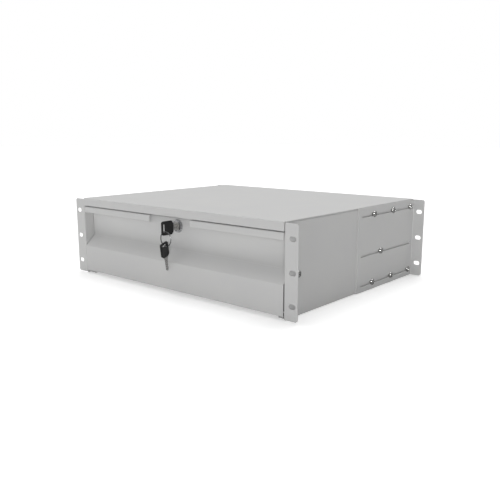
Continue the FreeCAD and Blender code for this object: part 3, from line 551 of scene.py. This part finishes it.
def roundedOutline(corners, radii, count):
    # Points evenly spaced round a polygon whose corners are arcs, each between its tangent points.
    corners = np.array(corners, float)
    ahead = np.roll(corners, -1, 0) - corners
    behind = np.roll(corners, 1, 0) - corners
    ahead /= np.linalg.norm(ahead, axis=1)[:, None]
    behind /= np.linalg.norm(behind, axis=1)[:, None]
    half = np.arccos(np.clip((ahead * behind).sum(1), -1, 1)) / 2
    radii = np.array(radii, float)
    middle = ahead + behind
    middle /= np.linalg.norm(middle, axis=1)[:, None]
    centre = corners + middle * (radii / np.sin(half))[:, None]
    steps = np.linspace(-1, 1, arcSteps)
    sweep = (np.pi / 2 - half)[:, None] * steps
    away = -middle
    cross = np.sign(behind[:, 0] * ahead[:, 1] - behind[:, 1] * ahead[:, 0])[:, None]
    angle = np.arctan2(away[:, 1], away[:, 0])[:, None] - sweep * cross
    arcs = centre[:, None] + radii[:, None, None] * np.stack([np.cos(angle), np.sin(angle)], -1)
    line = arcs.reshape(-1, 2)
    closed = np.concatenate([line, line[:1]])
    length = np.concatenate([[0], np.cumsum(np.linalg.norm(np.diff(closed, axis=0), axis=1))])
    wanted = np.linspace(0, length[-1], count, endpoint=False)
    return np.stack([np.interp(wanted, length, closed[:, 0]), np.interp(wanted, length, closed[:, 1])], -1)


def inTurn(line, y):
    # The points of a closed line, in order of their direction from the middle point at y.
    away = line - np.array([y, 0])
    return line[np.argsort(np.arctan2(away[:, 1], away[:, 0]))]


def bowShape():
    # A ring-like surface: rows run from the slot's edge over the front, round the outer edge and back behind.
    # A point is slotLine * (1 - a) + outerLine * a at depth x, and (a, x) runs round a rounded rectangle.
    s = bowSize
    outer = s["rear"] - s["length"]
    rear = s["rear"] - s["shoulderLength"]
    half, shoulder = s["height"] / 2, s["shoulderHeight"] / 2
    corners = [(outer, half), (rear, half), (s["rear"], shoulder), (s["rear"], -shoulder), (rear, -half),
               (outer, -half)]
    radii = [s["corner"], s["rearCorner"], s["shoulderCorner"]]
    outerLine = roundedOutline(corners, radii + radii[::-1], s["round"])
    slotY = outer + s["slotSetback"]
    w, l = s["slotWidth"] / 2, s["slotLength"] / 2
    slotCorners = [(slotY - w, l), (slotY + w, l), (slotY + w, -l), (slotY - w, -l)]
    slotLine = roundedOutline(slotCorners, [w * s["slotRound"]] * 4, s["round"])
    outerLine, slotLine = inTurn(outerLine, slotY + s["middleShift"]), inTurn(slotLine, slotY)
    gap = np.linalg.norm(outerLine - slotLine, axis=1)[:, None]
    t, e = s["thickness"] / 2, s["edge"]
    bend = np.radians(s["bend"])
    # Distances from the slot's edge and from the outer edge, and depths below the face.
    fromSlot = np.concatenate([(1 - np.cos(bend)) * s["slotEdge"], s["slotLines"]])
    slotDepth = np.concatenate([(1 - np.sin(bend)) * s["slotEdge"], [0.0], [0.0]])
    outDistance = np.concatenate([[s["borderWidth"] + s["borderSlope"], s["borderWidth"], e],
                                  (1 - np.sin(bend[1:])) * e])
    outDepth = np.concatenate([[0.0, -s["borderDepth"], -s["borderDepth"]],
                               (1 - np.cos(bend[1:])) * e - s["borderDepth"]])
    share = np.concatenate([fromSlot[None] / gap, 1 - outDistance[None] / gap], 1)
    depth = np.concatenate([slotDepth, outDepth])
    face = slotLine[:, None] * (1 - share[..., None]) + outerLine[:, None] * share[..., None]
    x = np.repeat((t - s["borderDepth"] - depth)[None], len(face), axis=0)
    front = np.concatenate([x[..., None], face], -1)
    back = front[:, ::-1].copy()
    back[..., 0] *= -1
    grid = np.concatenate([front, back], 1)
    return surface(grid, loopRows=True, loopColumns=True)


bladeLow, bladeHigh = boxOf("key_blade")
bladeSize = {"root": bladeLow[1], "shoulder": 11.4, "tip": bladeHigh[1], "halfHeight": 2.8,
             "shoulderHalf": (bladeHigh[2] - bladeLow[2]) / 2, "halfThickness": bladeHigh[0], "edge": 0.18,
             "grooveHigh": 1.1, "grooveLow": -0.5, "grooveDepth": 0.45,
             "cuts": (1.2, 0.5, 1.6, 0.8, 1.3), "firstCut": 17.1, "cutPitch": 2.4, "cutWidth": 0.8,
             "cutLead": 1.1, "cutEase": 0.15, "step": 0.01, "tipTop": ((-1.5, 1.1), (-0.2, 0.1), (0.0, 0.02)),
             "tipBottom": ((-0.2, -0.3), (0.0, -0.02)), "tipStart": 1.8, "rows": 60, "keep": 2.2,
             "grooveEase": 0.12, "grooveStart": 0.6, "grooveFull": 0.3, "thinBelow": 1.2, "thinnest": 0.15,
             "sharpAngle": 25}


def bladeShape():
    # Section carried along y: its top edge is the half height less the cuts, its bottom edge is plain, and
    # both draw in towards the tip.
    s = bladeSize
    starts = s["firstCut"] + s["cutPitch"] * np.arange(len(s["cuts"]))
    ease = s["cutEase"]
    knots = [(s["root"], s["shoulderHalf"]), (s["shoulder"], s["shoulderHalf"]),
             (s["shoulder"] + s["step"], s["halfHeight"]), (starts[0] - s["cutLead"], s["halfHeight"])]
    for start, cut in zip(starts, s["cuts"]):
        level = s["halfHeight"] - cut
        knots += [(start - ease, level), (start + s["cutWidth"] + ease, level)]
    knots += [(s["tip"] + along, height) for along, height in s["tipTop"]]
    bottomKnots = [(s["root"], -s["shoulderHalf"]), (s["shoulder"], -s["shoulderHalf"]),
                   (s["shoulder"] + s["step"], -s["halfHeight"]),
                   (s["tip"] - s["tipStart"], -s["halfHeight"])]
    bottomKnots += [(s["tip"] + along, height) for along, height in s["tipBottom"]]
    y = np.unique(np.concatenate([[k[0] for k in knots], [k[0] for k in bottomKnots],
                                  np.linspace(s["root"], s["tip"], s["rows"])]))
    top = np.interp(y, *np.array(knots).T)[:, None]
    bottom = np.interp(y, *np.array(bottomKnots).T)[:, None]
    e, t, d = s["edge"], s["halfThickness"], s["grooveDepth"]
    one = np.ones_like(top)
    high = np.minimum(s["grooveHigh"] * one, top - s["keep"] * e)
    low = np.maximum(s["grooveLow"] * one, bottom + s["keep"] * e)
    low = np.minimum(low, high)
    grooved = (y > s["shoulder"] + s["grooveStart"])[:, None]
    flute = np.where(grooved, d, 0.0) * np.clip((high - low) / s["grooveFull"], 0, 1)
    slant = s["grooveEase"] * one
    z = np.concatenate([top, top - e, high, high - slant, low + slant, low, bottom + e, bottom], 1)
    eased, full, fluted = t - e * one, t * one, t - flute
    x = np.concatenate([eased, full, full, fluted, fluted, full, full, eased], 1)
    z = np.clip(z, bottom, top)
    closing = np.clip((top - bottom) / s["thinBelow"], s["thinnest"], 1)
    x = x * closing
    rightHalf = np.stack([x, np.repeat(y[:, None], x.shape[1], axis=1), z], -1)
    leftHalf = rightHalf[:, ::-1].copy()
    leftHalf[..., 0] *= -1
    return surface(endsClosed(np.concatenate([rightHalf, leftHalf], 1)), loopColumns=True)


keyPlace = {"ringPivot": pivotOf("ring_swing"), "ringRadius": 11.2, "ringTilt": 19.0, "sparePlace": 24.0,
            "lean": 8.0, "turn": 20.0, "roll": 2.5, "seat": 0.3}


def ringPoint(start, angle):
    # The point one ring radius below start, swung round Y by an angle in degrees.
    swing = math.radians(angle)
    return np.array(start) + keyPlace["ringRadius"] * np.array([math.sin(swing), 0, -math.cos(swing)])


ringCentre = ringPoint(keyPlace["ringPivot"], keyPlace["ringTilt"])


def lifted(part, drop=0.0):
    # A key shape drawn round its own middle, moved up to the lock.
    return part[0] + np.array([0, 0, lockSize["level"] - drop]), part[1]


def hung(part, drop=0.0):
    # The same key hung bow up on the ring, left of its lowest point, leaning to the front, turned and rolled.
    slotY = bowSize["rear"] - bowSize["length"] + bowSize["slotSetback"]
    pivot = ringPoint(ringCentre, -keyPlace["sparePlace"])
    grip = np.array([0, slotY - keyPlace["seat"], drop - bowSize["drop"]])
    turn = Matrix.Rotation(math.radians(keyPlace["turn"]), 3, "Z")
    turn = turn @ Matrix.Rotation(math.radians(-keyPlace["roll"]), 3, "Y")
    turn = turn @ Matrix.Rotation(math.radians(keyPlace["lean"] - 90), 3, "X")
    return (part[0] - grip) @ np.array(turn).T + pivot, part[1]


bow, blade = bowShape(), bladeShape()
addPiece("key_bow_moulding", lifted(bow, bowSize["drop"]), "key", "black_plastic", ["key_bow"])
addPiece("key_blade_blank", lifted(blade), "key", "key_steel", ["key_blade"], sharp=bladeSize["sharpAngle"])
addPiece("spare_key_bow_moulding", hung(bow, bowSize["drop"]), "spare_key", "black_plastic",
         ["spare_key_bow"])
addPiece("spare_key_blade_blank", hung(blade), "spare_key", "key_steel", ["spare_key_blade"],
         sharp=bladeSize["sharpAngle"])

ringSize = {"wireHeight": 1.0, "wireWidth": 0.82, "offset": 0.44, "crossing": 0.5, "corner": 0.25,
            "endGap": 0.02, "rows": 241, "round": 16, "taper": 0.12, "thinnest": 0.35, "start": 0.9}


def ringShape():
    # A wire wound twice: angle runs over two turns and y steps smoothly from one turn to the next.
    s = ringSize
    t = np.linspace(s["endGap"], 4 * np.pi - s["endGap"], s["rows"])
    step = np.clip((t - 2 * np.pi) / s["crossing"], -1, 1)
    y = s["offset"] * np.sin(step * np.pi / 2)
    h, w = s["wireHeight"] / 2, s["wireWidth"] / 2
    section = roundedOutline([(h, w), (-h, w), (-h, -w), (h, -w)], [s["corner"]] * 4, s["round"])
    taper = np.clip(np.minimum(t, 4 * np.pi - t) / s["taper"], s["thinnest"], 1)[:, None]
    radial = keyPlace["ringRadius"] + section[None, :, 0] * taper
    angle = (t + s["start"])[:, None]
    grid = np.stack([radial * np.sin(angle), y[:, None] + section[None, :, 1], radial * np.cos(angle)], -1)
    return surface(endsClosed(grid) + ringCentre, loopColumns=True)


addPiece("split_ring", ringShape(), "ring", "ring_steel", ["key_ring"])
print("keys made")


# Slide balls

ballRows = {"count": 4, "heights": {"outer": 19.92, "inner": 16.11}, "rings": 13, "sides": 20}


def ballShape(radius):
    # Sphere: radius * cos(latitude) out and radius * sin(latitude) up, carried round.
    latitude = np.linspace(-np.pi / 2, np.pi / 2, ballRows["rings"])
    profile = np.stack([radius * np.cos(latitude), radius * np.sin(latitude)], -1)
    return turnedShape(profile, ballRows["sides"])


def makeBalls(side, hand):
    # One side's balls: an evenly spaced row above and one below the middle of each pair of rails, where the
    # right side's packed balls are, mirrored for the left.
    s = ballRows
    for row, height in s["heights"].items():
        low, high = boxOf("right_" + row + "_balls")
        radius = (high[0] - low[0]) / 2
        middle, level = (low[0] + high[0]) / 2, (low[2] + high[2]) / 2
        places = [(hand * middle, y, level + up * height) for up in (-1, 1)
                  for y in between(low[1], high[1], radius, s["count"])]
        addPiece(side + "_" + row + "_ball_rows", repeated(ballShape(radius), np.eye(3), places),
                 side + "_" + row + "_bearing", "bearing_steel", [side + "_" + row + "_balls"])


for side, hand in hands:
    makeBalls(side, hand)
print("slide balls made")


# Camera, lamps and floor

cameraView = {"target": (-0.01048, 0.2, -0.02891), "azimuth": 40.62, "elevation": 10.9, "distance": 1.08836,
              "lens": 43.82, "sensor": 36.0, "nearest": 0.01, "farthest": 50}


def makeCamera():
    azimuth, elevation = math.radians(cameraView["azimuth"]), math.radians(cameraView["elevation"])
    back = Vector((math.sin(azimuth) * math.cos(elevation), -math.cos(azimuth) * math.cos(elevation),
                   math.sin(elevation)))
    data = bpy.data.cameras.new("camera")
    data.lens = cameraView["lens"]
    data.sensor_width = cameraView["sensor"]
    data.clip_start, data.clip_end = cameraView["nearest"], cameraView["farthest"]
    camera = bpy.data.objects.new("camera", data)
    bpy.context.scene.collection.objects.link(camera)
    camera.location = Vector(cameraView["target"]) + back * cameraView["distance"]
    camera.rotation_mode = "QUATERNION"
    camera.rotation_quaternion = (-back).to_track_quat("-Z", "Y")
    bpy.context.scene.camera = camera


studio = {"skyStrength": 0.02, "roomLevel": 0.3, "floorInMirrors": 0.35, "floorColour": "#F0F0F0",
          "floorGlow": 0.38, "floorGlowOnObject": 0.14, "floorGap": 0.2 * mm, "floorHalf": 9.0,
          "lamps": {"keyLamp": {"from": (0.64, -0.745, 0.19), "strength": 0.91, "softness": 12.0},
                    "frontLamp": {"from": (0.2, -0.95, 0.1), "strength": 0.36, "softness": 24.0},
                    "leftLamp": {"from": (-0.71, -0.6, 0.37), "strength": 0.68, "softness": 90.0},
                    "rearLamp": {"from": (-0.2, 0.3, 0.92), "strength": 2.66, "softness": 60.0}}}


def makeLamp(name, setting):
    # A broad far lamp. Its strength divided by pi is what it adds to a white surface that faces it.
    data = bpy.data.lights.new(name, "SUN")
    data.angle = math.radians(setting["softness"])
    data.energy = setting["strength"]
    lamp = bpy.data.objects.new(name, data)
    bpy.context.scene.collection.objects.link(lamp)
    lamp.rotation_mode = "QUATERNION"
    lamp.rotation_quaternion = Vector(setting["from"]).to_track_quat("Z", "Y")


def makeStudio():
    world = bpy.data.worlds.new("studioWorld")
    bpy.context.scene.world = world
    world.use_nodes = True
    tree = world.node_tree
    tree.nodes.clear()
    # White to the camera, a dim room to the metals' mirror rays and faint fill to everything else.
    rays = addNode(tree, "ShaderNodeLightPath")
    fill = studio["skyStrength"]
    level = addNode(tree, "ShaderNodeMath", {"operation": "MULTIPLY_ADD"},
                    {1: studio["roomLevel"] - fill, 2: fill}, {0: rays.outputs["Is Glossy Ray"]})
    for kind in ("Is Camera Ray", "Is Transmission Ray"):
        level = addNode(tree, "ShaderNodeMath", {"operation": "MULTIPLY_ADD"}, {1: 1 - fill},
                        {0: rays.outputs[kind], 2: level.outputs[0]})
    light = addNode(tree, "ShaderNodeBackground", values={"Color": (1, 1, 1, 1)},
                    links={"Strength": level.outputs[0]})
    addNode(tree, "ShaderNodeOutputWorld", links={"Surface": light.outputs[0]})
    for name, setting in studio["lamps"].items():
        makeLamp(name, setting)

    # Painted studio floor: matt, nearly white, and white to the camera where no shadow lies.
    material, tree, output = newMaterial("paintedStudioFloor")
    shade = addNode(tree, "ShaderNodeBsdfDiffuse", values={"Color": linearColour(studio["floorColour"])})
    rays = addNode(tree, "ShaderNodeLightPath")
    # The floor also glows faintly onto the object, to every ray but the camera's: a painted glow standing in for
    # light bounced up from below.
    objectGlow = studio["floorGlowOnObject"]
    power = addNode(tree, "ShaderNodeMath", {"operation": "MULTIPLY_ADD"},
                    {1: studio["floorGlow"] - objectGlow, 2: objectGlow}, {0: rays.outputs["Is Camera Ray"]})
    glow = addNode(tree, "ShaderNodeEmission", links={"Strength": power.outputs[0]})
    both = addNode(tree, "ShaderNodeAddShader", links={0: shade.outputs[0], 1: glow.outputs[0]})
    # Mirror rays see the floor dimmed towards black: a painted dark reflection in the metals.
    dim = addNode(tree, "ShaderNodeMath", {"operation": "MULTIPLY"}, {1: 1 - studio["floorInMirrors"]},
                  {0: rays.outputs["Is Glossy Ray"]})
    dark = addNode(tree, "ShaderNodeBsdfDiffuse", values={"Color": (0, 0, 0, 1)})
    seen = addNode(tree, "ShaderNodeMixShader",
                   links={0: dim.outputs[0], 1: both.outputs[0], 2: dark.outputs[0]})
    tree.links.new(seen.outputs[0], output.inputs["Surface"])
    h, z = studio["floorHalf"], cadBox[0][2] - studio["floorGap"]
    mesh = bpy.data.meshes.new("floor")
    mesh.from_pydata([(-h, -h, z), (h, -h, z), (h, h, z), (-h, h, z)], [], [(0, 1, 2, 3)])
    mesh.materials.append(material)
    floor = bpy.data.objects.new("floor", mesh)
    bpy.context.scene.collection.objects.link(floor)


makeCamera()
makeStudio()
bpy.context.scene.view_settings.view_transform = "Standard"
print("studio made")
